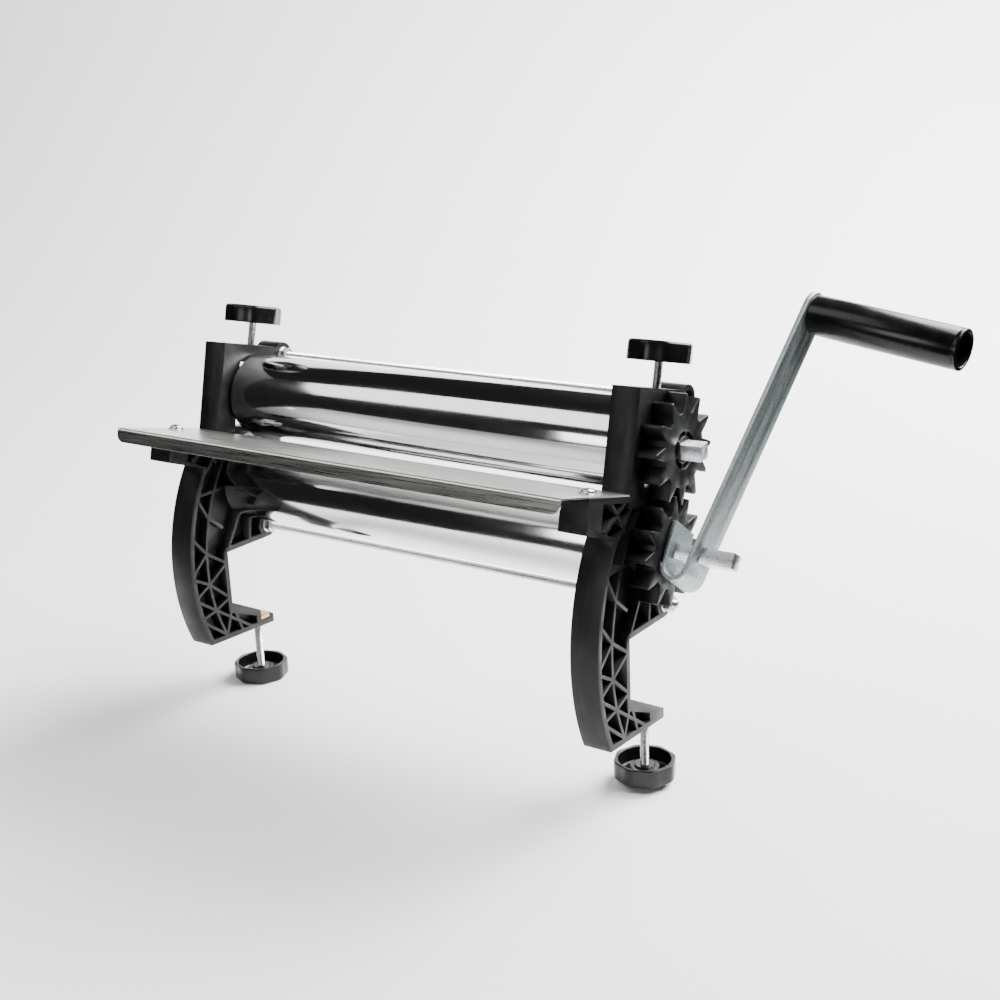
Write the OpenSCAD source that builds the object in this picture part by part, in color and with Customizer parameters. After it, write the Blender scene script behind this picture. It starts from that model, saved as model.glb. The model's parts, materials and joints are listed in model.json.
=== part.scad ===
// Two-roller etching press that clamps to the edge of a table.
// Origin: the top corner of the table edge, midway between the two side frames.
// +X runs along the rollers towards the gears and the crank, +Y over the table,
// +Z up from the table top. The posts lean back over the table.
// Most parts are drawn in the press frame and then leaned: there Y = 0 is the front
// face of the posts and Z = 0 is the top of the feed tray.

/* [Overall] */
// Distance between the middle planes of the two side frames
frame_pitch = 350; // [260:5:450]
// Thickness of a side frame along the rollers
frame_t = 20; // [16:1:26]
// Angle between the posts and the line square to the table
lean = 13.5; // [5:0.5:20]
// Height of the posts above the feed tray
post_h = 65; // [62:1:80]

/* [Rollers] */
// Outside diameter of both rollers
roller_d = 60; // [50:1:64]
// Wall of the roller tubes
tube_wall = 4; // [2.5:0.5:6]
// Gap between the two rollers at rest
nip_gap = 4; // [4:0.5:6]
// Diameter of the journals in the bearing blocks
shaft_d = 16; // [15:0.5:20]
// Side of the square ends of the shafts
square_w = 10; // [8:0.5:10.5]

/* [Gears] */
// Width of the gears
gear_w = 14; // [8:1:18]
// Thickness of a tooth at its tip
tip_w = 2.2; // [1.5:0.1:2.6]

/* [Side frames] */
// Depth of the front post from its face to the bearing window
post_depth = 17; // [14:1:20]
// Width of the bearing window
window_w = 40; // [36:1:44]
// Depth of the rear pillar behind the window
pillar_depth = 16.5; // [14:0.5:20]
// Thickness of the outer flange
flange_t = 4; // [3:0.5:6]
// Thickness of the middle web
web_t = 4; // [3:0.5:6]
// Thickness of the lattice ribs
rib_t = 2.2; // [1.5:0.1:3]
// Radius of the curved front of the leg
leg_r = 143.5; // [140:0.5:150]
// Diameter of the bosses round the tie rods
boss_d = 19; // [16:0.5:22]

/* [Table clamp] */
// Height of the gap for the table at its back wall
throat_h = 40.5; // [30:0.5:50]
// Reach of the lower jaw from the table edge
jaw_reach = 42; // [40:1:50]
// Drop of the sloping top of the lower jaw over its reach
jaw_drop = 22.7; // [15:0.5:25]
// Thickness of the lower jaw at its end
jaw_end_t = 6.8; // [6:0.2:10]
// Distance of the clamp screws from the table edge
clamp_y = 33.5; // [30:0.5:34]

/* [Feed tray] */
// Depth of the tray in front of the posts
tray_depth = 78; // [60:1:100]
// Thickness of the tray sheet
tray_t = 1.2; // [0.8:0.1:2]
// Height of the front lip
lip_h = 10; // [6:0.5:14]
// Depth of the shelf blocks that carry the tray
shelf_depth = 46; // [40:1:55]

/* [Crank] */
// Length of the crank arm from the shaft to the grip pin
crank_len = 169; // [120:1:200]
// Direction of the crank arm at rest, from the tray's plane
crank_angle = 68.4; // [0:0.2:180]
// Angle by which the long leg of the crank leans outwards
crank_flare = 9.2; // [0:0.2:12]
// Width of the crank strap
strap_w = 27; // [22:1:30]
// Thickness of the crank strap
strap_t = 3; // [2:0.5:4]
// Length of the grip
grip_len = 100; // [80:1:120]
// Diameter of the grip
grip_d = 26; // [20:0.5:30]

/* [Screws and knobs] */
// Diameter of the studs and tie rods
stud_d = 6; // [5:0.5:6]
// Width of a nut across its flats
nut_af = 10; // [9:0.5:11]
// Thickness of a nut
nut_t = 5; // [4:0.5:6]
// Diameter of the knobs over their lobes
knob_d = 41.8; // [34:0.2:44]
// Height of the knobs
knob_h = 13; // [12:0.5:18]

/* [Hidden] */

$fn = 64;
fit = 0.05;              // radial clearance of everything that turns in or sits on something
slide_gap = 0.15;        // clearance on each side of a sliding block
cut = 1;                 // how far a cutter runs past the face it opens
gear_gap = 0.5;          // gap between the right frame and the gears
roller_gap = 2.5;        // gap between a frame and the ends of the rollers
block_lip_t = 1.5;       // lip of a block against the inner face of its frame
block_lip_w = 3;         // how far that lip reaches past the window
lip_gap = 0.1;           // clearance between that lip and the frame
block_h = 36;            // height of an upper bearing block
bridge_t = 13;           // thickness of the frame above the window
bar_t = 12.5;            // height of the cross-bar below the window
bush_r = 12;             // outside radius of a lower bearing bush
bush_lip_r = 14.5;       // radius of its lip on the inner face of the frame
boss_wall = 5;           // wall of the frame round a lower bush
shelf_drop = 4;          // how far the leg starts below the shelf block
nip_z = -3;              // height of the nip in the press frame
shelf_t = 22;            // height of the shelf blocks
spine_z = -74;           // height of the centre of the leg's front arc
tip_r = 9.5;             // radius of the rounded rear tip of the upper jaw
tip_y = 45;              // distance of that tip's centre from the table edge
jaw_boss_w = 18;         // length of the solid end of the lower jaw
mid_rib_in = 16.5;       // depth of the curved middle rib behind the front of the leg
clearance_hole = 0.3;    // extra radius of a hole that a screw passes without a thread
hub_d = 20;              // hub of a knob
hub_h = 8;               // height of that hub above the closed face
hub_step_d = 13.5;       // raised step on that hub round the stud
hub_step_h = 1.2;        // height of that step
knob_wall = 2.6;         // wall and floor of a knob
knob_lobes = 8;
lobe_share = 0.275;      // radius of a lobe as a share of the knob's diameter
screw_show = 16.5;       // length of stud between a post and its pressure knob
left_clamp_show = 37;    // length of screw between the left lower jaw and its knob's hub
right_clamp_show = 33.5; // the same on the right
lower_square_len = 57.5;  // square end of the lower shaft beyond the right frame
upper_square_len = 28;   // square end of the upper shaft beyond the right frame
square_turn = -17.6;     // turn of the square shaft ends at rest
crank_in = 18;           // outer face of the crank's inner leg beyond the right frame
bend_r = 9.35;           // outside radius of the crank's bend
crank_drop = 11.7;       // depth of the bend's centre below the shaft
inner_leg_len = 16.5;    // height of the crank's inner leg above the shaft
bend_steps = 24;         // flats round the bend
gear_teeth = 12;
foot_slope = 2.6;        // slope of the underside of the foot, down towards the jaw's end
washer_r = 6;            // washers of the tie rods
washer_t = 1.2;
rod_end = 3;             // how far a rod stands out of its outer nut
nut_well = 9.7;          // depth of the well that hides the top rod's nut behind the upper gear
well_r = washer_r + 0.3;
pad_w = 9;               // clamp pad, along the jaw
pad_len = 17;            // clamp pad, along the rollers
pad_t = 3.2;
pad_socket = 2.2;        // depth of the hole for the screw in the pad
pad_gap = 0.3;           // clearance round the pad in its pocket
clamp_nut_t = 3.2;       // thin nut under the pad

root_x = frame_pitch / 2;                     // middle plane of the right frame
inner_x = root_x - frame_t / 2;               // inner face of the right frame
outer_x = root_x + frame_t / 2;               // outer face of the right frame
axis_y = post_depth + window_w / 2;           // both roller axes and the pressure screws
lower_z = nip_z - nip_gap / 2 - roller_d / 2; // lower roller axis
upper_z = nip_z + nip_gap / 2 + roller_d / 2; // upper roller axis
rear_y = post_depth + window_w + pillar_depth;
window_top = post_h - bridge_t;
window_bottom = nip_z + nip_gap / 2 + 4.5;
leg_top = -tray_t - shelf_t - shelf_drop;
corner = [19, -91.5];                         // table edge in the press frame
arc_y = leg_r - 20;                           // centre of the leg's front arc
lower_axis = [axis_y, lower_z];
upper_axis = [axis_y, upper_z];
top_rod = [rear_y - boss_d / 2 - 2, post_h - 5.5];
bottom_rod = from_table(tip_y, tip_r);
guide = [post_depth - 1, nip_z - 1];          // axis of the guide bolt
gear_module = roller_d / gear_teeth;
gear_x = outer_x + gear_gap;
slope = atan(jaw_drop / jaw_reach);
jaw_bottom = -(throat_h + jaw_drop + jaw_end_t);
pad_top = -(throat_h + jaw_drop * (clamp_y + pad_w / 2) / jaw_reach) - pad_gap;
pad_floor = pad_top - pad_t - pad_gap;        // floor of the pad's pocket
clamp_nut_z = pad_floor - clamp_nut_t;
roller_len = 2 * (inner_x - roller_gap);
tube_r = roller_d / 2 - tube_wall;

// A point given from the table edge, turned into the press frame.
function from_table(y, z) = corner + [y * cos(lean) - z * sin(lean), y * sin(lean) + z * cos(lean)];
// A point on the front arc of the leg at a given height, moved inwards by d.
function on_arc(z, d = 0) = [arc_y - sqrt(pow(leg_r - d, 2) - pow(z - spine_z, 2)), z];
// A point on that arc at a given angle below the line through its centre.
function on_leg(angle, d = 0) = [arc_y - (leg_r - d) * cos(angle), spine_z - (leg_r - d) * sin(angle)];

// ---------- Placing ----------

// Puts children drawn in the press frame into the table frame.
module leaned() {
    rotate([-lean, 0, 0]) translate([0, -corner[0], -corner[1]]) children();
}

// Extrudes a YZ outline along X, centred on x.
module plate(x, t) {
    translate([x - t / 2, 0, 0]) rotate([90, 0, 90]) linear_extrude(t) children();
}

// A rod along X from x0 to x1 at a YZ point.
module rod_x(p, x0, x1, r) {
    translate([x0, p[0], p[1]]) rotate([0, 90, 0]) cylinder(r = r, h = x1 - x0);
}

// A hexagon prism along X, or with a hole when r is given.
module hex_x(p, x0, t, af, r = 0) {
    translate([x0, p[0], p[1]]) rotate([0, 90, 0]) hex_nut(af, t, r);
}

module hex_nut(af, t, r) {
    difference() {
        cylinder(r = af / 2 / cos(30), h = t, $fn = 6);
        if (r > 0) translate([0, 0, -cut]) cylinder(r = r, h = t + 2 * cut);
    }
}

module washer(outer_r, t, inner_r) {
    difference() {
        cylinder(r = outer_r, h = t);
        translate([0, 0, -cut]) cylinder(r = inner_r, h = t + 2 * cut);
    }
}

module ring_x(p, x0, t, outer_r, inner_r) {
    translate([x0, p[0], p[1]]) rotate([0, 90, 0]) washer(outer_r, t, inner_r);
}

// ---------- Side frames ----------

// Outline of the upper part of the frame, moved inwards by d.
module head_outline(d) {
    polygon([
        [d, post_h - d],
        [d, -tray_t - d],
        [-shelf_depth + d, -tray_t - d],
        [-shelf_depth + d, leg_top + shelf_drop + d],
        on_arc(leg_top, d),
        on_arc(leg_top, d) + [2 * shelf_drop, -cut],
        from_table(-d, d),
        from_table(tip_y, d),
        [rear_y - d, bottom_rod[1]],
        [rear_y - d, top_rod[1] - boss_d / 2],
        top_rod,
        [top_rod[0], post_h - d]
    ]);
}

// Outline of the leg and the lower jaw, moved inwards by d.
module leg_outline(d) {
    intersection() {
        translate([arc_y, spine_z]) circle(r = leg_r - d, $fn = 160);
        polygon([
            [axis_y, leg_top + shelf_drop / 2],
            [-leg_r, leg_top + shelf_drop / 2],
            from_table(-leg_r, jaw_bottom + d + (jaw_reach + leg_r) * tan(foot_slope)),
            from_table(jaw_reach - d, jaw_bottom + d),
            from_table(jaw_reach - d, -throat_h - jaw_drop + (d * tan(slope) - d / cos(slope))),
            from_table(-d, -throat_h - (d * tan(slope) + d / cos(slope))),
            from_table(-d, 0)
        ]);
    }
}

module frame_outline(d = 0) {
    head_outline(d);
    leg_outline(d);
    translate(bottom_rod) circle(r = tip_r - d);
    translate(top_rod) circle(r = boss_d / 2 - d);
}

// A straight rib between two points.
module rib(p, q) {
    run = q - p;
    translate(p) rotate(atan2(run[1], run[0])) translate([0, -rib_t / 2]) square([norm(run), rib_t]);
}

// A chain of ribs through a list of points.
module ribs(points) {
    for (i = [1 : len(points) - 1]) rib(points[i - 1], points[i]);
}

// The triangles of ribs in the leg, on both sides of a curved middle rib.
module leg_lattice() {
    difference() {
        translate([arc_y, spine_z]) circle(r = leg_r - mid_rib_in + rib_t / 2, $fn = 160);
        translate([arc_y, spine_z]) circle(r = leg_r - mid_rib_in - rib_t / 2, $fn = 160);
        translate([axis_y, -2 * leg_r]) square([3 * leg_r, 4 * leg_r]);
    }
    upper_mid = on_leg(8, mid_rib_in);
    middle = on_leg(19, mid_rib_in);
    lower_mid = on_leg(29, mid_rib_in);
    foot = on_leg(40, mid_rib_in);
    edge = from_table(-flange_t / 2, -8);
    heel = from_table(-flange_t / 2, -throat_h + 5);
    ribs([on_leg(-10), on_leg(-4, mid_rib_in), from_table(-flange_t / 2, 20)]);
    ribs([on_leg(2), upper_mid, edge]);
    ribs([on_leg(14.5), upper_mid]);
    ribs([on_leg(14.5), middle, heel]);
    ribs([on_leg(21.5), middle, edge]);
    ribs([on_leg(21.5), lower_mid, from_table(jaw_reach - jaw_boss_w, jaw_bottom)]);
    ribs([on_leg(28.5), lower_mid, heel]);
    ribs([on_leg(28.5), foot]);
    ribs([foot, from_table(0, -throat_h - 2), from_table(10, jaw_bottom)]);
}

// Ribs between the boss of the lower bush and the edge of the head.
module head_ribs() {
    ends = [
        on_leg(-10), from_table(0, 0), from_table(24, 0), bottom_rod,
        [rear_y, lower_z], [rear_y, window_bottom - bar_t], [axis_y, window_bottom - bar_t]
    ];
    for (end = ends) rib(lower_axis, end);
    rib([post_depth / 2, window_bottom - bar_t / 2], on_leg(-14));
    rib([-shelf_depth + shelf_t, -tray_t], [0, leg_top + shelf_drop]);
    rib([-shelf_depth + shelf_t, leg_top + shelf_drop], [0, -tray_t]);
}

// Everything that is as thick as the frame itself.
module frame_solid_parts() {
    difference() {
        frame_outline();
        frame_outline(flange_t);
    }
    intersection() {
        frame_outline();
        union() {
            leg_lattice();
            head_ribs();
            translate([0, window_bottom - bar_t]) square([post_depth, post_h * 2]);
            translate([0, window_bottom - bar_t]) square([rear_y, bar_t]);
            translate([post_depth + window_w, window_bottom - bar_t]) square([pillar_depth, post_h * 2]);
            translate([0, window_top]) square([rear_y, bridge_t]);
            translate(lower_axis) circle(r = bush_r + boss_wall);
            translate(bottom_rod) circle(r = tip_r);
            translate(top_rod) circle(r = boss_d / 2);
            polygon([
                from_table(jaw_reach - jaw_boss_w, jaw_bottom - cut),
                from_table(jaw_reach + cut, jaw_bottom - cut),
                from_table(jaw_reach + cut, -cut),
                from_table(jaw_reach - jaw_boss_w, -cut)
            ]);
        }
    }
}

// Takes the two back corners off the rear pillar so that its back is half round.
module pillar_corners(x) {
    translate([x, rear_y - frame_t / 2, bottom_rod[1]]) difference() {
        translate([-frame_t, 0, 0]) cube([2 * frame_t, frame_t, top_rod[1] - bottom_rod[1]]);
        translate([0, 0, -cut]) cylinder(r = frame_t / 2, h = 3 * post_h + throat_h);
    }
}

// Pocket for the pad of the right clamp, open above and on the inner side, with its nut below.
module clamp_pocket() {
    translate([inner_x - cut, clamp_y - pad_w / 2 - pad_gap, pad_floor])
        cube([pad_len + 2 * pad_gap + cut, pad_w + 2 * pad_gap, -throat_h - pad_floor]);
    translate([root_x, clamp_y, clamp_nut_z]) hex_nut(nut_af + 2 * fit, clamp_nut_t + cut, 0);
    translate([root_x, clamp_y, jaw_bottom - cut])
        cylinder(r = stud_d / 2 + clearance_hole, h = clamp_nut_z - jaw_bottom + 2 * cut);
}

tray_screw_y = -33;      // tray screws, forward of the posts
tray_screw_d = 5;        // thread of the tray screws
tray_screw_len = 18;
tray_head_d = 9.5;       // pan head of the tray screws
tray_head_h = 3;
tray_washer_t = 0.8;
tray_nut_af = 8;
tray_nut_t = 4;
tray_nut_z = -tray_t - 12;
tray_boss_w = 15;        // solid part of the shelf block round a tray screw

module side_frame(x) {
    color([0.07, 0.07, 0.07]) difference() {
        leaned() {
            difference() {
                union() {
                    plate(x, web_t) frame_outline();
                    plate(x, frame_t) frame_solid_parts();
                }
                pillar_corners(x);
            }
            plate(x, frame_t) {
                translate(bottom_rod) circle(r = tip_r);
                translate(top_rod) circle(r = boss_d / 2);
            }
            translate([x - tray_boss_w / 2, tray_screw_y - tray_boss_w / 2, leg_top + shelf_drop])
                cube([tray_boss_w, tray_boss_w, shelf_t]);
        }
        leaned() {
            translate([x - frame_t, post_depth, window_bottom])
                cube([2 * frame_t, window_w, window_top - window_bottom]);
            for (p = [top_rod, bottom_rod]) rod_x(p, x - frame_t, x + frame_t, stud_d / 2 + fit);
            if (x > 0) rod_x(top_rod, outer_x - nut_well, outer_x + cut, well_r);
            if (x < 0) rod_x(guide, x - frame_t, x + frame_t, stud_d / 2 + fit);
            rod_x(lower_axis, x - frame_t, x + frame_t, bush_r + fit);
            translate([x, axis_y, window_top - cut])
                cylinder(r = stud_d / 2 + clearance_hole, h = bridge_t + 2 * cut);
            translate([x, axis_y, window_top - cut]) hex_nut(nut_af + 2 * fit, nut_t + cut, 0);
            translate([x, tray_screw_y, leg_top])
                cylinder(r = tray_screw_d / 2 + fit, h = shelf_t + shelf_drop + cut);
            translate([x, tray_screw_y, leg_top])
                hex_nut(tray_nut_af + 2 * fit, tray_nut_z - leg_top, 0);
        }
        mirror([x < 0 ? 1 : 0, 0, 0]) clamp_pocket();
    }
}

module left_frame() side_frame(-root_x);
module right_frame() side_frame(root_x);

// ---------- Feed tray ----------

lip_corner_r = 6;        // rounded lower corners of the lip

// Outline of the lip, seen from the front, with its top edge at zero.
module lip_outline() {
    difference() {
        translate([-outer_x, -lip_h]) square([2 * outer_x, lip_h]);
        for (s = [-1, 1]) translate([s * (outer_x - lip_corner_r), -lip_h + lip_corner_r]) difference() {
            translate([s > 0 ? 0 : -2 * lip_corner_r, -2 * lip_corner_r]) square(2 * lip_corner_r);
            circle(r = lip_corner_r);
        }
    }
}

// A folded sheet: flat top between the posts and the front, with a lip folded down.
module feed_tray() {
    color([0.78, 0.77, 0.75]) leaned() {
        difference() {
            translate([-outer_x, -tray_depth, -tray_t]) cube([2 * outer_x, tray_depth, tray_t]);
            for (x = [-root_x, root_x]) translate([x, tray_screw_y, -tray_t - cut])
                cylinder(r = tray_screw_d / 2 + clearance_hole, h = tray_t + 2 * cut);
        }
        translate([0, -tray_depth + tray_t, 0]) rotate([90, 0, 0]) linear_extrude(tray_t) lip_outline();
    }
}

// Pan-head screws that hold the tray on the shelf blocks.
module tray_screws() {
    color([0.72, 0.73, 0.74]) leaned() for (x = [-root_x, root_x])
        translate([x, tray_screw_y, tray_washer_t]) {
            cylinder(r = tray_head_d / 2, h = tray_head_h / 2);
            translate([0, 0, tray_head_h / 2])
                cylinder(r1 = tray_head_d / 2, r2 = tray_head_d / 3, h = tray_head_h / 2);
            translate([0, 0, -tray_screw_len]) cylinder(r = tray_screw_d / 2, h = tray_screw_len + cut);
        }
}

module tray_washers() {
    color([0.72, 0.73, 0.74]) leaned() for (x = [-root_x, root_x])
        translate([x, tray_screw_y, 0]) washer(tray_head_d / 2 + 0.75, tray_washer_t, tray_screw_d / 2 + fit);
}

module tray_nuts() {
    color([0.72, 0.73, 0.74]) leaned() for (x = [-root_x, root_x])
        translate([x, tray_screw_y, tray_nut_z - tray_nut_t])
            hex_nut(tray_nut_af, tray_nut_t, tray_screw_d / 2 + fit);
}

// ---------- Bearings ----------

socket_depth = 6;        // blind hole in a block for the end of its pressure screw

// The upper block of the right frame: slides in the window, with a lip on the frame's inner face.
module bearing_block() {
    color([0.1, 0.1, 0.1]) leaned() difference() {
        union() {
            translate([inner_x - lip_gap - block_lip_t, post_depth + slide_gap, upper_z - block_h / 2])
                cube([frame_t + lip_gap + block_lip_t, window_w - 2 * slide_gap, block_h]);
            translate([inner_x - lip_gap - block_lip_t, post_depth - block_lip_w, upper_z - block_h / 2])
                cube([block_lip_t, window_w + 2 * block_lip_w, block_h]);
        }
        rod_x(upper_axis, inner_x - frame_t, outer_x + cut, shaft_d / 2 + fit);
        translate([root_x, axis_y, upper_z + block_h / 2 - socket_depth])
            cylinder(r = stud_d / 2 + fit, h = socket_depth + cut);
    }
}

// The lower bush of the right frame, with its lip on the frame's inner face.
module lower_bush() {
    color([0.1, 0.1, 0.1]) leaned() difference() {
        union() {
            rod_x(lower_axis, inner_x - block_lip_t, outer_x, bush_r);
            rod_x(lower_axis, inner_x - block_lip_t, inner_x, bush_lip_r);
        }
        rod_x(lower_axis, inner_x - frame_t, outer_x + cut, shaft_d / 2 + fit);
    }
}

module left_bearing_block() mirror([1, 0, 0]) bearing_block();
module right_bearing_block() bearing_block();
module left_lower_bush() mirror([1, 0, 0]) lower_bush();
module right_lower_bush() lower_bush();

// ---------- Rollers, shafts and gears ----------

plug_t = 8;              // thickness of the plugs in the roller ends
plug_in = 1;             // how far they sit inside the ends

module roller(z) {
    color([0.85, 0.86, 0.88]) leaned() ring_x([axis_y, z], -roller_len / 2, roller_len, roller_d / 2, tube_r);
}

module roller_plugs(z) {
    first = -roller_len / 2 + plug_in;
    color([0.55, 0.56, 0.58]) leaned() for (x = [first, -first - plug_t])
        ring_x([axis_y, z], x, plug_t, tube_r - fit, shaft_d / 2 + fit);
}

// A round shaft with a square end beyond the right frame.
module shaft(z, square_len, turn) {
    color([0.7, 0.72, 0.73]) leaned() {
        rod_x([axis_y, z], -outer_x, gear_x, shaft_d / 2);
        translate([gear_x - cut, axis_y, z]) rotate([turn, 0, 0])
            translate([0, -square_w / 2, -square_w / 2]) cube([square_len - gear_gap + cut, square_w, square_w]);
    }
}

module lower_roller() roller(lower_z);
module upper_roller() roller(upper_z);
module lower_roller_plugs() roller_plugs(lower_z);
module upper_roller_plugs() roller_plugs(upper_z);
module lower_shaft() shaft(lower_z, lower_square_len, square_turn);
module upper_shaft() shaft(upper_z, upper_square_len, -square_turn + 2);

recess_r = 12;           // ring-shaped recess in the outer face of a gear
recess_depth = 6;
hub_r = 8.6;             // hub left standing inside that recess
root_w = 9.5;            // thickness of a tooth at its root
gear_phase = 90 / gear_teeth;

// Outline of a gear whose pitch circle equals the roller.
module gear_outline() {
    tip_r = roller_d / 2 + gear_module;
    root_r = roller_d / 2 - 1.25 * gear_module;
    circle(r = root_r);
    for (i = [0 : gear_teeth - 1]) rotate(i * 360 / gear_teeth + gear_phase) polygon([
        [root_r - 2, -root_w / 2],
        [tip_r - 6, -root_w * 0.32],
        [tip_r, -tip_w / 2],
        [tip_r, tip_w / 2],
        [tip_r - 6, root_w * 0.32],
        [root_r - 2, root_w / 2]
    ]);
}

module gear(z, turn) {
    color([0.08, 0.08, 0.08]) leaned() difference() {
        translate([gear_x, axis_y, z]) rotate([90, 0, 90]) difference() {
            linear_extrude(gear_w) gear_outline();
            translate([0, 0, gear_w - recess_depth]) difference() {
                cylinder(r = recess_r, h = recess_depth + cut);
                translate([0, 0, -cut]) cylinder(r = hub_r, h = recess_depth + 3 * cut);
                for (i = [0 : 5]) rotate(i * 60)
                    translate([-rib_t / 3, 0, -cut]) cube([rib_t / 1.5, recess_r + cut, recess_depth + cut / 2]);
            }
        }
        translate([gear_x - cut, axis_y, z]) rotate([turn, 0, 0])
            translate([0, -square_w / 2 - fit, -square_w / 2 - fit])
                cube([gear_w + 2 * cut, square_w + 2 * fit, square_w + 2 * fit]);
    }
}

module lower_gear() gear(lower_z, square_turn);
module upper_gear() gear(upper_z, -square_turn + 2);

// ---------- Pressure screws ----------

// The lobed outline shared by all four knobs.
module knob_outline() {
    lobe_r = knob_d * lobe_share;
    for (i = [0 : knob_lobes - 1]) rotate(i * 360 / knob_lobes)
        translate([knob_d / 2 - lobe_r, 0]) circle(r = lobe_r);
    circle(r = knob_d / 2 - lobe_r);
}

// A knob with its closed face at z = 0 and its hollow side upwards.
module star_knob() {
    difference() {
        linear_extrude(knob_h) knob_outline();
        difference() {
            translate([0, 0, knob_wall]) cylinder(r = knob_d * 0.45 - knob_wall / 2, h = knob_h);
            cylinder(r = hub_d / 2, h = hub_h);
            cylinder(r = hub_step_d / 2, h = hub_h + hub_step_h);
        }
        translate([0, 0, knob_wall]) cylinder(r = stud_d / 2 + fit, h = knob_h);
    }
}

knob_top = post_h + screw_show + knob_h;

module pressure_screw(x) {
    bottom = upper_z + block_h / 2 - socket_depth + 0.3;
    color([0.75, 0.77, 0.78]) leaned() translate([x, axis_y, bottom])
        cylinder(r = stud_d / 2, h = knob_top - knob_wall - 0.2 - bottom);
}

module pressure_knob(x) {
    color([0.05, 0.05, 0.05]) leaned() translate([x, axis_y, knob_top]) rotate([180, 0, 0]) star_knob();
}

module left_pressure_screw() pressure_screw(-root_x);
module right_pressure_screw() pressure_screw(root_x);
module left_pressure_knob() pressure_knob(-root_x);
module right_pressure_knob() pressure_knob(root_x);

// Captive nuts in the ceiling of the two windows.
module pressure_nuts() {
    color([0.72, 0.73, 0.74]) leaned() for (x = [-root_x, root_x])
        translate([x, axis_y, window_top]) hex_nut(nut_af, nut_t, stud_d / 2 + fit);
}

// ---------- Tie rods and small bolts ----------

guide_head_t = 4;        // hexagon head of the guide bolt
guide_reach = 26;        // length of guide bolt inside the left frame
guide_nut_x = 10.5;      // distance of its nut from the left frame

// Where a rod's outer washer sits on the right frame: the top one is down in its well.
function seat(p) = p == top_rod ? outer_x - nut_well : outer_x;

module tie_rod(p) {
    past_seat = washer_t + nut_t + rod_end;
    color([0.72, 0.73, 0.74]) leaned() rod_x(p, -outer_x - past_seat, seat(p) + past_seat, stud_d / 2);
}

module top_tie_rod() tie_rod(top_rod);
module bottom_tie_rod() tie_rod(bottom_rod);

module tie_rod_washers() {
    color([0.72, 0.73, 0.74]) leaned() for (p = [top_rod, bottom_rod])
        for (x = [-outer_x - washer_t, -inner_x, inner_x - washer_t, seat(p)])
            ring_x(p, x, washer_t, washer_r, stud_d / 2 + fit);
}

module tie_rod_nuts() {
    color([0.72, 0.73, 0.74]) leaned() for (p = [top_rod, bottom_rod])
        for (x = [-outer_x - washer_t - nut_t, washer_t - inner_x, inner_x - washer_t - nut_t, seat(p) + washer_t])
            hex_x(p, x, nut_t, nut_af, stud_d / 2 + fit);
}

// A bolt through the left frame's cross-bar, beside the nip, with its head outside.
module guide_bolt() {
    color([0.72, 0.73, 0.74]) leaned() {
        hex_x(guide, -outer_x - guide_head_t, guide_head_t, nut_af);
        rod_x(guide, -outer_x - guide_head_t / 2, -inner_x + guide_reach, stud_d / 2);
    }
}

module guide_nut() {
    color([0.72, 0.73, 0.74]) leaned() hex_x(guide, -inner_x + guide_nut_x, nut_t, nut_af, stud_d / 2 + fit);
}

// ---------- Table clamp ----------

// The pad of the right clamp: a flat bar lying in the pocket in the top of the jaw.
module clamp_pad() {
    color([0.8, 0.65, 0.3]) difference() {
        translate([inner_x + pad_gap, clamp_y - pad_w / 2, pad_top - pad_t]) cube([pad_len, pad_w, pad_t]);
        translate([root_x, clamp_y, pad_top - pad_t - cut])
            cylinder(r = stud_d / 2 + fit, h = pad_socket + cut);
    }
}

module clamp_screw(x, show) {
    bottom = jaw_bottom - show - hub_h + knob_wall + 0.2;
    color([0.75, 0.77, 0.78]) translate([x, clamp_y, bottom])
        cylinder(r = stud_d / 2, h = pad_top - pad_t + pad_socket - 0.2 - bottom);
}

module clamp_knob(x, show) {
    color([0.05, 0.05, 0.05]) translate([x, clamp_y, jaw_bottom - show - hub_h]) star_knob();
}

module left_clamp_pad() mirror([1, 0, 0]) clamp_pad();
module right_clamp_pad() clamp_pad();
module left_clamp_screw() clamp_screw(-root_x, left_clamp_show);
module right_clamp_screw() clamp_screw(root_x, right_clamp_show);
module left_clamp_knob() clamp_knob(-root_x, left_clamp_show);
module right_clamp_knob() clamp_knob(root_x, right_clamp_show);

// Thin captive nuts under the pads.
module clamp_nuts() {
    color([0.8, 0.65, 0.3]) for (x = [-root_x, root_x])
        translate([x, clamp_y, clamp_nut_z]) hex_nut(nut_af, clamp_nut_t, stud_d / 2 + fit);
}

// ---------- Crank ----------

// Crank parts are drawn with Z along the arm and X as everywhere, then turned.
module on_crank() {
    leaned() translate([0, axis_y, lower_z]) rotate([crank_angle - 90, 0, 0]) children();
}

// Parts on the long leg: Z along the leaning leg from the bend, X square to its outer face.
module on_long_leg() {
    on_crank() translate([bend_x, 0, -crank_drop]) rotate([0, crank_flare, 0])
        translate([bend_r, 0, 0]) children();
}

bend_x = outer_x + crank_in - strap_t + bend_r;                              // centre of the bend
shaft_on_leg = (crank_drop + bend_r * sin(crank_flare)) / cos(crank_flare);  // shaft above the bend
pin_on_leg = shaft_on_leg + crank_len;                                       // pin above the bend
pin_d = 8;
pin_head_d = 14;
pin_head_t = 2.5;

// A point of the strap's side view, at an angle round the bend.
function bend_point(angle, r) = [bend_x + r * cos(angle), -crank_drop + r * sin(angle)];
// The end of the long leg, from the point where it leaves the bend.
function leg_end(r) = bend_point(-crank_flare, r)
    + (pin_on_leg + strap_w / 2) * [sin(crank_flare), cos(crank_flare)];

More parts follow.
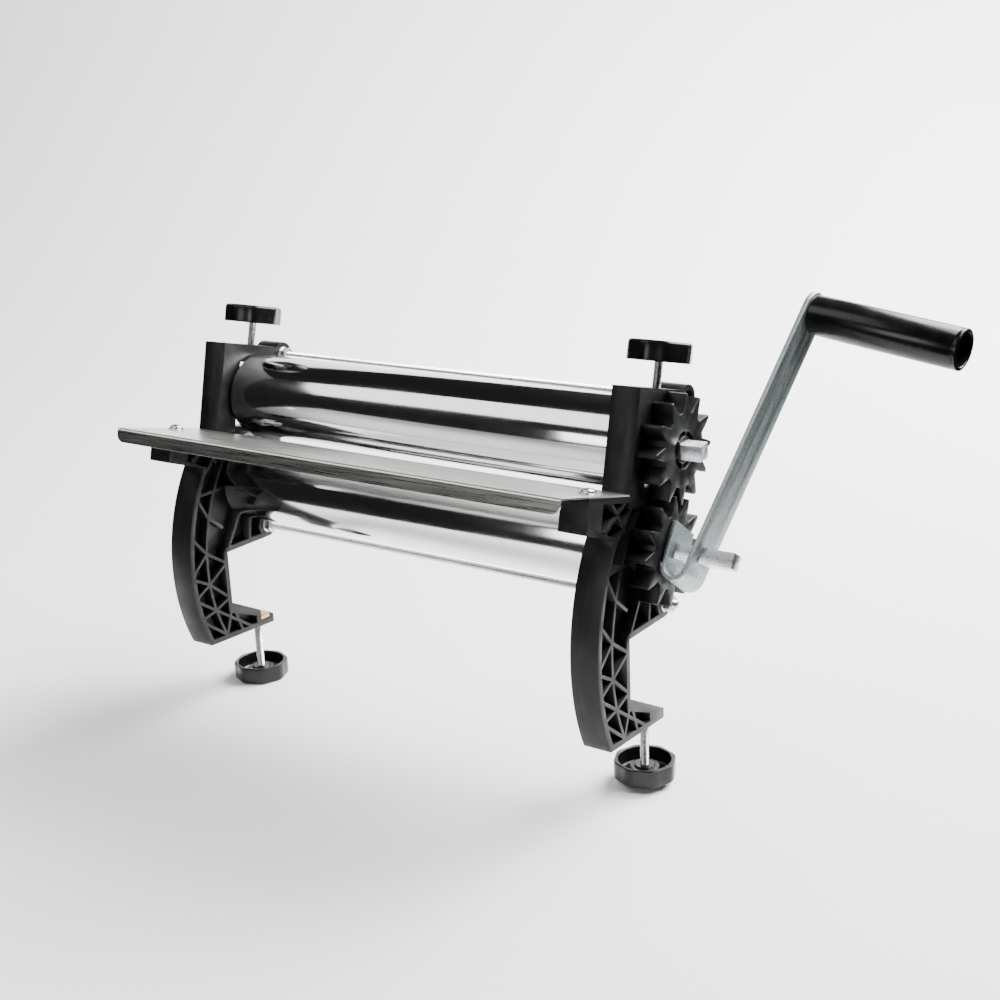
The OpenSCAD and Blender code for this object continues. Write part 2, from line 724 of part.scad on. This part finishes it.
// Side view of the strap: short inner leg, round bend and leaning long leg.
module strap_profile() {
    turn = (180 - crank_flare) / bend_steps;
    polygon(concat(
        [[outer_x + crank_in - strap_t, inner_leg_len]],
        [for (i = [0 : bend_steps]) bend_point(180 + i * turn, bend_r)],
        [leg_end(bend_r), leg_end(bend_r - strap_t)],
        [for (i = [bend_steps : -1 : 0]) bend_point(180 + i * turn, bend_r - strap_t)],
        [[outer_x + crank_in, inner_leg_len]]
    ));
}

// A U-bent strap with a square hole in each leg and a round end for the grip's pin.
module crank_arm() {
    color([0.62, 0.66, 0.66]) difference() {
        on_crank() rotate([90, 0, 0]) linear_extrude(strap_w, center = true) strap_profile();
        on_long_leg() translate([-2 * strap_t, 0, pin_on_leg]) rotate([0, 90, 0]) difference() {
            translate([-2 * strap_w, -strap_w, 0]) cube([2 * strap_w, 2 * strap_w, 3 * strap_t]);
            translate([0, 0, -cut]) cylinder(r = strap_w / 2 + 0.4, h = 3 * strap_t + 2 * cut);
        }
        leaned() translate([outer_x, axis_y, lower_z]) rotate([square_turn, 0, 0])
            translate([0, -square_w / 2 - fit, -square_w / 2 - fit])
                cube([crank_in + 4 * bend_r, square_w + 2 * fit, square_w + 2 * fit]);
        on_long_leg() translate([-2 * strap_t, 0, pin_on_leg]) rotate([0, 90, 0])
            cylinder(r = pin_d / 2 + fit, h = 3 * strap_t);
    }
}

grip_gap = 0.4;          // end play between the arm and the grip
grip_recess = 12;        // depth of the hollow in the grip's free end

// A riveted pin: head inside the arm, round shank, head in the hollow of the grip.
module crank_pin() {
    color([0.7, 0.72, 0.73]) on_long_leg() translate([0, 0, pin_on_leg]) rotate([0, 90, 0]) {
        translate([0, 0, -strap_t - pin_head_t]) cylinder(r = pin_head_d / 2, h = pin_head_t);
        translate([0, 0, -strap_t - cut / 2])
            cylinder(r = pin_d / 2, h = strap_t + grip_len - grip_recess + 2 * grip_gap + cut);
        translate([0, 0, grip_len - grip_recess + 2 * grip_gap]) cylinder(r = pin_head_d / 2, h = pin_head_t);
    }
}

module crank_grip() {
    color([0.06, 0.06, 0.06]) on_long_leg()
        translate([grip_gap, 0, pin_on_leg]) rotate([0, 90, 0]) difference() {
            cylinder(r = grip_d / 2, h = grip_len);
            translate([0, 0, -cut]) cylinder(r = pin_d / 2 + 2 * fit, h = grip_len + 2 * cut);
            translate([0, 0, grip_len - grip_recess])
                cylinder(r = grip_d / 2 - 2.5, h = grip_recess + cut);
        }
}

left_frame();
right_frame();
feed_tray();
tray_screws();
tray_washers();
tray_nuts();
left_bearing_block();
right_bearing_block();
left_lower_bush();
right_lower_bush();
lower_roller();
lower_roller_plugs();
lower_shaft();
lower_gear();
upper_roller();
upper_roller_plugs();
upper_shaft();
upper_gear();
left_pressure_screw();
right_pressure_screw();
left_pressure_knob();
right_pressure_knob();
pressure_nuts();
top_tie_rod();
bottom_tie_rod();
tie_rod_nuts();
tie_rod_washers();
guide_bolt();
guide_nut();
left_clamp_pad();
right_clamp_pad();
left_clamp_screw();
right_clamp_screw();
left_clamp_knob();
right_clamp_knob();
clamp_nuts();
crank_arm();
crank_pin();
crank_grip();
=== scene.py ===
"""Looks of the etching press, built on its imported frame. Metres; +X to the crank, +Z up."""

import json
import math
import bmesh
import bpy
from mathutils import Matrix, Vector


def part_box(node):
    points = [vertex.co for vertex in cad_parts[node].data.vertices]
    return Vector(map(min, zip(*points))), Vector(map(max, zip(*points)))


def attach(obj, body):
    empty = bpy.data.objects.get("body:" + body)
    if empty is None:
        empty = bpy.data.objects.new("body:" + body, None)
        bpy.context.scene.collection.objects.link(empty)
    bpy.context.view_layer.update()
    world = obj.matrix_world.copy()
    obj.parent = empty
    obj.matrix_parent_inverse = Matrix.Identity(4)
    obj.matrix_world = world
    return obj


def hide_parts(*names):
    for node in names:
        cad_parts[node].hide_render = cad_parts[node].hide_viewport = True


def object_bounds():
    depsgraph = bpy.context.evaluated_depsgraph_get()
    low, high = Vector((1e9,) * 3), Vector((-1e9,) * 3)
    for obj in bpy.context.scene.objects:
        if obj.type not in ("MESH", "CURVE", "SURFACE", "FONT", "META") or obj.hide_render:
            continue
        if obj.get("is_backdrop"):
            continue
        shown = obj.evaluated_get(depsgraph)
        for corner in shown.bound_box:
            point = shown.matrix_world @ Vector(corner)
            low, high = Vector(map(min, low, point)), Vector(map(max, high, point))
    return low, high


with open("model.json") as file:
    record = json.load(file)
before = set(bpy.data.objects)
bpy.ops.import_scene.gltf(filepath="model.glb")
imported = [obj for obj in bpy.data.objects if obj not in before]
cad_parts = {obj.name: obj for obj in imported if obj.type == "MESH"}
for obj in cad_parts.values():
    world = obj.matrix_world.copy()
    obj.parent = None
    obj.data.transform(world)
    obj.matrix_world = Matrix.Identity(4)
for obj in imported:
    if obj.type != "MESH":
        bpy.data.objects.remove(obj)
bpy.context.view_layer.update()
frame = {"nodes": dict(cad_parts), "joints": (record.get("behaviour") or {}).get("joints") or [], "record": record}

MM = 0.001

# Directions of the press, whose posts lean back over the table.
JOINTS = {joint["name"]: joint for joint in frame["joints"]}
ACROSS = Vector((1, 0, 0))
UP = Vector(JOINTS["nip_adjust"]["axis"]).normalized()
BACK = UP.cross(ACROSS)
TABLE_UP = Vector((0, 0, 1))


# ---------- Where the CAD nodes are ----------


def centre(node):
    low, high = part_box(node)
    return (low + high) / 2


def span(node, axis):
    """Lowest and highest place of a node's vertices along an axis."""
    places = [vertex.co.dot(axis) for vertex in frame["nodes"][node].data.vertices]
    return min(places), max(places)


def basis(axis, side):
    """Rotation whose Z is the axis and whose X is as near to side as it can be."""
    z = axis.normalized()
    x = (side - z * side.dot(z)).normalized()
    return Matrix((x, z.cross(x), z)).transposed()


# ---------- Camera ----------

CAMERA_AZIMUTH = math.radians(35.84)
CAMERA_ELEVATION = math.radians(16.92)
CAMERA_ROLL = math.radians(-2.45)
CAMERA_DISTANCE = 1.0325
CAMERA_LENS = 53.74
AIM_FROM_ROLLER = Vector((0.0492, 0.0259, 0.0054))


def add_camera():
    forward = Vector((
        -math.sin(CAMERA_AZIMUTH) * math.cos(CAMERA_ELEVATION),
        math.cos(CAMERA_AZIMUTH) * math.cos(CAMERA_ELEVATION),
        -math.sin(CAMERA_ELEVATION),
    ))
    data = bpy.data.cameras.new("camera")
    data.lens = CAMERA_LENS
    camera = bpy.data.objects.new("camera", data)
    bpy.context.scene.collection.objects.link(camera)
    turn = forward.to_track_quat("-Z", "Y").to_matrix() @ Matrix.Rotation(CAMERA_ROLL, 3, "Z")
    camera.matrix_world = turn.to_4x4()
    camera.location = centre("lower_roller") + AIM_FROM_ROLLER - forward * CAMERA_DISTANCE
    bpy.context.scene.camera = camera
    return forward


# ---------- Materials ----------


class Finish:
    """A procedural material on one Principled shader, with its noises in metres."""

    def __init__(self, name, colour, roughness, metallic=0.0):
        self.material = bpy.data.materials.new(name)
        self.material.use_nodes = True
        self.nodes = self.material.node_tree.nodes
        self.links = self.material.node_tree.links
        self.shader = self.nodes["Principled BSDF"]
        self.shader.inputs["Base Color"].default_value = (*colour, 1)
        self.shader.inputs["Roughness"].default_value = roughness
        self.shader.inputs["Metallic"].default_value = metallic
        self.places = self.nodes.new("ShaderNodeTexCoord")

    def noise(self, size, stretch=(1, 1, 1), detail=4.0):
        """Noise whose features are about size metres, stretched along each axis."""
        mapping = self.nodes.new("ShaderNodeMapping")
        mapping.inputs["Scale"].default_value = [1 / (size * factor) for factor in stretch]
        self.links.new(self.places.outputs["Object"], mapping.inputs["Vector"])
        noise = self.nodes.new("ShaderNodeTexNoise")
        noise.inputs["Scale"].default_value = 1
        noise.inputs["Detail"].default_value = detail
        self.links.new(mapping.outputs["Vector"], noise.inputs["Vector"])
        return noise.outputs["Fac"]

    def cells(self, size):
        """Random grey per crystal of about size metres."""
        voronoi = self.nodes.new("ShaderNodeTexVoronoi")
        voronoi.inputs["Scale"].default_value = 1 / size
        self.links.new(self.places.outputs["Object"], voronoi.inputs["Vector"])
        return voronoi.outputs["Color"]

    def ramp(self, factor, low, high, start=0.35, end=0.65):
        ramp = self.nodes.new("ShaderNodeValToRGB")
        ramp.color_ramp.elements[0].position = start
        ramp.color_ramp.elements[0].color = (*low, 1)
        ramp.color_ramp.elements[1].position = end
        ramp.color_ramp.elements[1].color = (*high, 1)
        self.links.new(factor, ramp.inputs["Fac"])
        return ramp.outputs["Color"]

    def vary_colour(self, factor, low, high, start=0.35, end=0.65):
        self.links.new(self.ramp(factor, low, high, start, end), self.shader.inputs["Base Color"])

    def vary_roughness(self, factor, low, high, start=0.3, end=0.7):
        grey = self.ramp(factor, (low,) * 3, (high,) * 3, start, end)
        self.links.new(grey, self.shader.inputs["Roughness"])

    def bump(self, factor, height):
        bump = self.nodes.new("ShaderNodeBump")
        bump.inputs["Strength"].default_value = 1
        bump.inputs["Distance"].default_value = height
        self.links.new(factor, bump.inputs["Height"])
        self.links.new(bump.outputs["Normal"], self.shader.inputs["Normal"])


PLASTIC_SPECULAR = 0.32


def moulded(name, colour, scuff, rough_low, rough_high, grain):
    """Moulded plastic: fine grain, uneven sheen and pale scuffs."""
    finish = Finish(name, colour, rough_low)
    finish.shader.inputs["Specular IOR Level"].default_value = PLASTIC_SPECULAR
    finish.vary_colour(finish.noise(9 * MM, (0.6, 1, 2.5), 8), colour, scuff, 0.52, 0.78)
    finish.vary_roughness(finish.noise(14 * MM), rough_low, rough_high)
    finish.bump(finish.noise(0.5 * MM, detail=2), grain)
    return finish.material


def plated(name, dark, pale, crystal, rough_low, rough_high):
    """Zinc plate: a fine speckle of pale and dark crystals."""
    finish = Finish(name, pale, rough_low, metallic=1)
    finish.vary_colour(finish.cells(crystal), dark, pale, 0.1, 0.9)
    finish.vary_roughness(finish.noise(4 * crystal), rough_low, rough_high)
    finish.bump(finish.noise(crystal, detail=3), 0.02 * MM)
    return finish.material


def chrome():
    """Polished plate over a turned tube: very fine rings and faint cloudy streaks."""
    finish = Finish("chrome_tube", (0.86, 0.86, 0.87), 0.1, metallic=1)
    finish.vary_roughness(finish.noise(22 * MM, (6, 1, 1), 5), 0.06, 0.16)
    finish.bump(finish.noise(0.6 * MM, (1, 60, 60), 2), 0.0012 * MM)
    return finish.material


def stainless():
    """Sheet brushed along the rollers."""
    finish = Finish("stainless", (0.72, 0.705, 0.68), 0.3, metallic=1)
    finish.vary_roughness(finish.noise(0.5 * MM, (90, 1, 1), 3), 0.22, 0.4)
    finish.bump(finish.noise(0.35 * MM, (120, 1, 1), 3), 0.004 * MM)
    return finish.material


def turned_steel():
    finish = Finish("bare_steel", (0.42, 0.42, 0.42), 0.4, metallic=1)
    finish.vary_roughness(finish.noise(6 * MM), 0.3, 0.55)
    finish.bump(finish.noise(0.3 * MM), 0.004 * MM)
    return finish.material


def studio_paper():
    finish = Finish("studio_paper", (0.92, 0.92, 0.92), 0.95)
    finish.bump(finish.noise(2 * MM), 0.02 * MM)
    return finish.material


MATERIALS = {
    "black_nylon": moulded(
        "black_nylon", (0.006, 0.006, 0.0065), (0.016, 0.016, 0.017), 0.34, 0.5, 0.02 * MM
    ),
    "black_gear": moulded(
        "black_gear", (0.005, 0.005, 0.0055), (0.011, 0.011, 0.012), 0.3, 0.46, 0.015 * MM
    ),
    "black_knob": moulded(
        "black_knob", (0.005, 0.005, 0.0055), (0.009, 0.009, 0.01), 0.18, 0.3, 0.006 * MM
    ),
    "chrome_tube": chrome(),
    "bare_steel": turned_steel(),
    "stainless": stainless(),
    "dull_zinc": plated(
        "dull_zinc", (0.3, 0.345, 0.35), (0.5, 0.55, 0.55), 0.8 * MM, 0.42, 0.6
    ),
    "bright_zinc": plated(
        "bright_zinc", (0.5, 0.52, 0.54), (0.82, 0.84, 0.86), 0.5 * MM, 0.24, 0.4
    ),
    "yellow_zinc": plated(
        "yellow_zinc", (0.5, 0.36, 0.12), (0.85, 0.66, 0.3), 0.6 * MM, 0.28, 0.42
    ),
}
SLOTS = {part["node"]: part["material_slot"] for part in frame["record"]["subparts"]}
BODIES = {
    node: body
    for body, nodes in frame["record"]["behaviour"]["bodies"].items()
    for node in nodes
}


# ---------- Making pieces ----------


WELD_DISTANCE = 1e-6


def soften(piece, width, angle=30, segments=2):
    """Rounds the sharp edges of a piece by width."""
    weld = piece.modifiers.new("weld", "WELD")
    weld.merge_threshold = WELD_DISTANCE
    bevel = piece.modifiers.new("bevel", "BEVEL")
    bevel.width = width
    bevel.segments = segments
    bevel.limit_method = "ANGLE"
    bevel.angle_limit = math.radians(angle)
    bevel.use_clamp_overlap = True
    bevel.harden_normals = False
    shade(piece.data)


def shade(mesh, angle=32):
    for face in mesh.polygons:
        face.use_smooth = True
    mesh.set_sharp_from_angle(angle=math.radians(angle))


def piece(name, node, verts, faces, sharp=32):
    """A new piece that stands for a CAD node, with that node's body and finish."""
    mesh = bpy.data.meshes.new(name)
    mesh.from_pydata([tuple(v) for v in verts], [], faces)
    mesh.validate()
    tidy = bmesh.new()
    tidy.from_mesh(mesh)
    bmesh.ops.recalc_face_normals(tidy, faces=tidy.faces)
    tidy.to_mesh(mesh)
    tidy.free()
    shade(mesh, sharp)
    thing = bpy.data.objects.new(name, mesh)
    bpy.context.scene.collection.objects.link(thing)
    mesh.materials.append(MATERIALS[SLOTS[node]])
    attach(thing, BODIES[node])
    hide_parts(node)
    return thing


def loft(rings, close_start=True, close_end=True):
    """Vertices and faces of a skin over rings that all have the same number of points."""
    count = len(rings[0])
    verts = [point for ring in rings for point in ring]
    faces = []
    for r in range(len(rings) - 1):
        for i in range(count):
            j = (i + 1) % count
            faces.append((r * count + i, r * count + j, (r + 1) * count + j, (r + 1) * count + i))
    if close_start:
        faces.append(tuple(range(count)))
    if close_end:
        faces.append(tuple(range((len(rings) - 1) * count, len(rings) * count)))
    return verts, faces


def lathe(profile, origin, turn, segments=96, reach=None):
    """Rings of a turned shape: profile is (radius, height), reach gives a factor per angle."""
    rings = []
    for radius, height in profile:
        ring = []
        for i in range(segments):
            angle = 2 * math.pi * i / segments
            r = radius * (reach(angle) if reach else 1)
            ring.append(origin + turn @ Vector((r * math.cos(angle), r * math.sin(angle), height)))
        rings.append(ring)
    return rings


def rounded(radius, height, corner, steps=4):
    """Profile points round the upper outer corner of a turned shape, going towards its axis."""
    points = []
    for i in range(steps + 1):
        angle = math.pi / 2 * i / steps
        points.append((
            radius - corner + corner * math.cos(angle),
            height + (corner * math.sin(angle) - corner),
        ))
    return points


# ---------- Threads ----------

PITCH = 1 * MM
THREAD_DEPTH = 0.55 * MM
RINGS_PER_PITCH = 5


def threaded(node, axis, end_chamfer=0.8 * MM):
    """A rod with a rolled thread over its whole length."""
    low, high = span(node, axis)
    middle = centre(node)
    start = middle + axis * (low - middle.dot(axis))
    length = high - low
    side = ACROSS if abs(axis.x) < 0.5 else BACK
    turn = basis(axis, side)
    near, far = span(node, side)
    radius = (far - near) / 2
    segments = 20
    steps = round(length / PITCH * RINGS_PER_PITCH)
    rings = []
    for s in range(steps + 1):
        height = length * s / steps
        from_end = min(height, length - height)
        limit = radius - max(0, end_chamfer - from_end)
        ring = []
        for i in range(segments):
            angle = 2 * math.pi * i / segments
            phase = (height / PITCH - i / segments) % 1
            wave = abs(2 * phase - 1)
            r = min(limit, radius - THREAD_DEPTH * (1 - wave))
            ring.append(start + turn @ Vector((r * math.cos(angle), r * math.sin(angle), height)))
        rings.append(ring)
    verts, faces = loft(rings)
    return piece(node + "_thread", node, verts, faces, sharp=50)


# ---------- Knobs ----------

LOBES = 8
LOBE_DEPTH = 0.025


def lobe_reach(angle):
    """Softly lobed outline, as a part of the greatest radius."""
    return 1 - LOBE_DEPTH + LOBE_DEPTH * math.cos(LOBES * angle)


def knob(node, axis):
    """Lobed hollow knob whose closed end is at the low end of axis."""
    low, high = span(node, axis)
    origin = centre(node)
    origin = origin + axis * (low - origin.dot(axis))
    turn = basis(axis, ACROSS)
    height = high - low
    left, right = span(node, ACROSS)
    radius = (right - left) / 2
    wall = 1.8 * MM
    inside = radius * 0.93 - wall
    floor = 2.6 * MM
    hub_radius = 10 * MM
    hub_top = 8 * MM
    step_radius = 6.75 * MM
    step_top = 9.2 * MM
    hole = 3.1 * MM
    closed_corner = 2.2 * MM
    rim_corner = 0.5 * MM
    outer = [(radius * f, 0.0) for f in (0.02, 0.5, 0.8)]
    outer += [(r, height - z) for r, z in reversed(rounded(radius, height, closed_corner, 5))]
    outer += rounded(radius, height, rim_corner, 3)
    rings = lathe(outer, origin, turn, reach=lobe_reach)
    bore = [
        (inside + 0.3 * MM, height),
        (inside, height - 0.3 * MM),
        (inside - 0.4 * MM, floor + 1 * MM),
        (inside - 1.4 * MM, floor),
        (hub_radius + 0.8 * MM, floor),
        (hub_radius, floor + 0.8 * MM),
        (hub_radius, hub_top - 0.4 * MM),
        (hub_radius - 0.4 * MM, hub_top),
        (step_radius + 0.2 * MM, hub_top),
        (step_radius, hub_top + 0.2 * MM),
        (step_radius, step_top - 0.3 * MM),
        (step_radius - 0.3 * MM, step_top),
        (hole, step_top),
        (hole, floor + 0.2 * MM),
    ]
    rings += lathe(bore, origin, turn)
    verts, faces = loft(rings)
    return piece(node + "_moulding", node, verts, faces, sharp=38)


# ---------- Rollers and grip ----------


TUBE_WALL = 4 * MM


def roller(node):
    """A tube with a small turned chamfer at both ends."""
    low, high = span(node, ACROSS)
    radius = (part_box(node)[1].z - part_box(node)[0].z) / 2
    bore = radius - TUBE_WALL
    edge = 0.6 * MM
    start = centre(node) + ACROSS * (low - centre(node).x)
    length = high - low
    profile = [
        (bore, edge), (bore + edge, 0), (radius - edge, 0), (radius - 0.2 * MM, 0.15 * MM),
        (radius, edge), (radius, length - edge), (radius - 0.2 * MM, length - 0.15 * MM),
        (radius - edge, length), (bore + edge, length), (bore, length - edge), (bore, edge),
    ]
    rings = lathe(profile, start, basis(ACROSS, BACK), 256)
    verts, faces = loft(rings, False, False)
    return piece(node + "_tube", node, verts, faces, sharp=25)


def grip():
    """The moulded grip: round shoulders, a thin bead and a deep hollow at its free end."""
    node = "crank_grip"
    axis = Vector(JOINTS["grip_spin"]["axis"]).normalized()
    low, high = span(node, axis)
    start = Vector(JOINTS["grip_spin"]["pos_m"])
    start = start + axis * (low - start.dot(axis))
    length = high - low
    radius = 13 * MM
    bore = 4.2 * MM
    hollow = 12 * MM
    shoulder = 1.6 * MM
    profile = [(bore, hollow), (bore, 0.3 * MM), (4.6 * MM, 0)]
    profile += [
        (r, shoulder - z) for r, z in reversed(rounded(radius - 0.4 * MM, shoulder, shoulder))
    ]
    profile += [
        (radius - 0.1 * MM, 20 * MM),
        (radius - 0.1 * MM, length - 4.2 * MM),
        (radius - 0.5 * MM, length - 3.6 * MM),
        (radius - 0.5 * MM, length - 3.1 * MM),
        (radius, length - 2.6 * MM),
    ]
    profile += rounded(radius, length, 0.9 * MM)
    profile += [
        (radius - 2.2 * MM, length),
        (radius - 2.6 * MM, length - 0.5 * MM),
        (radius - 3 * MM, length - 11.5 * MM),
        (radius - 4 * MM, length - hollow),
        (bore, length - hollow),
        (bore, length - 30 * MM),
    ]
    rings = lathe(profile, start, basis(axis, BACK), 96)
    verts, faces = loft(rings, False, False)
    return piece("crank_grip_moulding", node, verts, faces, sharp=35)


# ---------- Feed tray ----------


def tray():
    """Bent sheet: flat top, rounded bend and a lip whose lower corners are round."""
    node = "feed_tray"
    left, right = span(node, ACROSS)
    front, rear = span(node, BACK)
    low, top = span(node, UP)
    sheet = 1.2 * MM
    bend = 2.2 * MM
    corner = 6 * MM
    columns = []
    width = right - left
    insets = [corner * (1 - math.cos(math.pi / 2 * i / 10)) for i in range(11)]
    places = [left + d for d in insets]
    places += [left + corner + (width - 2 * corner) * i / 24 for i in range(1, 24)]
    places += [right - d for d in reversed(insets)]
    for x in places:
        inset = min(x - left, right - x, corner)
        rise = corner - math.sqrt(max(0, corner**2 - (corner - inset) ** 2))
        section = tray_section(front, rear, low + rise, top, sheet, bend)
        columns.append([tray_point(x, place) for place in section])
    verts, faces = loft(columns)
    thing = piece("feed_tray_sheet", node, verts, faces, sharp=30)
    soften(thing, 0.18 * MM, 50, 2)
    return thing


def tray_point(x, place):
    back, up = place
    return ACROSS * x + BACK * back + UP * up


def tray_section(front, rear, low, top, sheet, bend):
    """Closed outline of the sheet in the plane of BACK and UP, outer side first."""
    outer = [(rear, top)]
    inner = [(rear, top - sheet)]
    for i in range(7):
        angle = math.pi / 2 * i / 6
        outer.append((front + bend - bend * math.sin(angle), top - bend + bend * math.cos(angle)))
        r = bend - sheet
        inner.append((front + bend - r * math.sin(angle), top - bend + r * math.cos(angle)))
    outer.append((front, low))
    inner.append((front + sheet, low))
    return outer + inner[::-1]


# ---------- Screw heads ----------


PAN_RADIUS = 4.75 * MM
PAN_HEIGHT = 3 * MM
SHANK_RADIUS = 2.5 * MM
CROSS_HALF_WIDTH = 0.55 * MM
CROSS_REACH = 2.6 * MM
CROSS_DEPTH = 1.3 * MM
PAN_RINGS = (0.04, 0.12, 0.2, 0.3, 0.4, 0.5, 0.55, 0.7, 0.85, 0.95, 1.0)


def pan_heads():
    """Domed heads with a cross recess, with their shanks, for both tray screws."""
    node = "tray_screws"
    bottom, top = span(node, UP)
    verts = []
    faces = []
    for side in (-1, 1):
        middle = centre(node)
        origin = ACROSS * side * screw_spread(node) + BACK * middle.dot(BACK) + UP * top
        points, skin = loft(pan_head_rings(origin, top - bottom), True, True)
        faces += [tuple(i + len(verts) for i in face) for face in skin]
        verts += points
    return piece("tray_screws_heads", node, verts, faces, sharp=40)


def screw_spread(node):
    low, high = span(node, ACROSS)
    return (high - low) / 2 - PAN_RADIUS


def pan_head_rings(origin, depth):
    """Rings of a domed head and its shank, from the middle of the dome to the shank's end."""
    turn = basis(UP, ACROSS)
    count = 64
    angles = [2 * math.pi * i / count for i in range(count)]
    rings = []
    for r in [PAN_RADIUS * share for share in PAN_RINGS]:
        fall = PAN_HEIGHT * (1 - math.sqrt(max(0, 1 - (r / PAN_RADIUS) ** 2))) * 0.75
        ring = []
        for angle in angles:
            x = r * math.cos(angle + math.radians(20))
            y = r * math.sin(angle + math.radians(20))
            in_cross = min(abs(x), abs(y)) < CROSS_HALF_WIDTH and r < CROSS_REACH
            ring.append(origin + turn @ Vector((x, y, -fall - (CROSS_DEPTH if in_cross else 0))))
        rings.append(ring)
    for r, z in ((PAN_RADIUS, PAN_HEIGHT), (SHANK_RADIUS, PAN_HEIGHT), (SHANK_RADIUS, depth)):
        rings.append([
            origin + turn @ Vector((r * math.cos(angle), r * math.sin(angle), -z))
            for angle in angles
        ])
    return rings


# ---------- Light and floor ----------


def add_light(name, size, power, place, aim):
    """A soft rectangular light of a size in metres, turned to its aim."""
    data = bpy.data.lights.new(name, "AREA")
    data.shape = "RECTANGLE"
    data.size, data.size_y = size
    data.energy = power
    light = bpy.data.objects.new(name, data)
    light.location = place
    light.rotation_euler = (aim - Vector(place)).to_track_quat("-Z", "Y").to_euler()
    bpy.context.scene.collection.objects.link(light)


FLOOR_FRONT = -0.42
FLOOR_HALF_WIDTH = 0.32
FLOOR_WIDENING = 0.4


def floor_sections():
    """Distance behind the press and height of each cross-line of the floor, from the front."""
    flat = 1.2
    bend = 0.6
    steps = 12
    sections = [(FLOOR_FRONT, 0.0), (0.0, 0.0)]
    for i in range(steps + 1):
        angle = math.pi / 2 * i / steps
        sections.append((flat + bend * math.sin(angle), bend - bend * math.cos(angle)))
    sections.append((flat + bend, 1.2))
    return sections


def studio(forward):
    """Pale floor that widens with the view and curves up behind the press, and soft lights."""
    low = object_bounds()[0][2]
    aim = centre("lower_roller")
    away = Vector((forward.x, forward.y, 0)).normalized()
    right = Vector((away.y, -away.x, 0))
    up = Vector((0, 0, 1))
    verts = []
    sections = floor_sections()
    for distance, height in sections:
        reach = FLOOR_HALF_WIDTH + FLOOR_WIDENING * (distance - FLOOR_FRONT)
        for edge in (-reach, reach):
            verts.append(away * distance + right * edge + up * (low + height))
    faces = [(2 * i, 2 * i + 1, 2 * i + 3, 2 * i + 2) for i in range(len(sections) - 1)]
    mesh = bpy.data.meshes.new("studio_floor")
    mesh.from_pydata([tuple(v) for v in verts], [], faces)
    for face in mesh.polygons:
        face.use_smooth = True
    floor = bpy.data.objects.new("studio_floor", mesh)
    mesh.materials.append(studio_paper())
    bpy.context.scene.collection.objects.link(floor)
    floor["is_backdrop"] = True

    world = bpy.data.worlds.new("studio")
    bpy.context.scene.world = world
    world.use_nodes = True
    world.node_tree.nodes["Background"].inputs["Color"].default_value = (1, 1, 1, 1)
    world.node_tree.nodes["Background"].inputs["Strength"].default_value = 0.015
    beside = Vector((-0.75, 0, 0))
    add_light("band", (1.7, 0.7), 9, aim + beside + Vector((0, -0.62, 0.95)), aim + beside)
    add_light("front", (0.5, 0.4), 3, aim - away * 1.0 - right * 0.6 + up * 0.3, aim)
    add_light("overhead", (1.4, 1.2), 75, aim + right * 1.1 - away * 0.1 + up * 1.5, aim)
    behind = aim + away * 1.3
    add_light("backdrop", (1.6, 1.6), 190, aim + right * 1.4 + away * 1.0 + up * 1.4, behind)


# ---------- Putting it together ----------

CAD_EDGES = {
    "left_frame": 0.45 * MM,
    "right_frame": 0.45 * MM,
    "lower_gear": 0.5 * MM,
    "upper_gear": 0.5 * MM,
    "crank_arm": 0.35 * MM,
}
SMALL_EDGE = 0.25 * MM


def build():
    forward = add_camera()
    for node, thing in frame["nodes"].items():
        thing.data.materials.clear()
        thing.data.materials.append(MATERIALS[SLOTS[node]])
    for node in ("lower_roller", "upper_roller"):
        roller(node)
    for node in ("left_pressure_screw", "right_pressure_screw"):
        threaded(node, UP)
    for node in ("left_clamp_screw", "right_clamp_screw"):
        threaded(node, TABLE_UP)
    for node in ("top_tie_rod", "bottom_tie_rod"):
        threaded(node, ACROSS)
    for node in ("left_pressure_knob", "right_pressure_knob"):
        knob(node, -UP)
    for node in ("left_clamp_knob", "right_clamp_knob"):
        knob(node, TABLE_UP)
    grip()
    tray()
    pan_heads()
    for node, thing in frame["nodes"].items():
        if not thing.hide_render:
            soften(thing, CAD_EDGES.get(node, SMALL_EDGE))
    studio(forward)


build()
